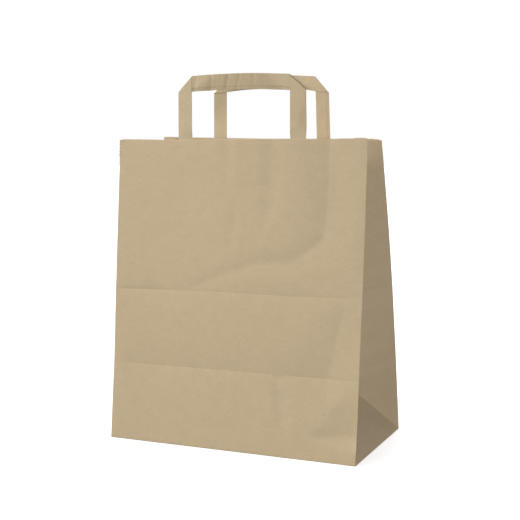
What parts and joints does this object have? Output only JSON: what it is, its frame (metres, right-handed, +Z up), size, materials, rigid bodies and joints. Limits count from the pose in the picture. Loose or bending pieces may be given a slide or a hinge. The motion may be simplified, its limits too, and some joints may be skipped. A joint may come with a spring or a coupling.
{
  "type": "paper carrier bag",
  "caption": "Kraft paper carrier bag with a folded block bottom, inward side gussets, a toothed rim and flat paper tape handles.",
  "frame": {"origin": "centre of the base's underside, on the surface that the bag stands on", "axes": "+Z up, -Y towards the front panel, +X to the right as the front is seen"},
  "size_m": [0.26, 0.135, 0.3606],
  "materials": {
    "bag_kraft": "matte brown kraft paper",
    "handle_kraft": "matte folded kraft paper tape",
    "patch_kraft": "matte brown kraft paper"
  },
  "bodies": {
    "root": {"bag_body": "bag_kraft", "front_handle": "handle_kraft", "back_handle": "handle_kraft", "front_handle_patch": "patch_kraft", "back_handle_patch": "patch_kraft"}
  },
  "joints": []
}
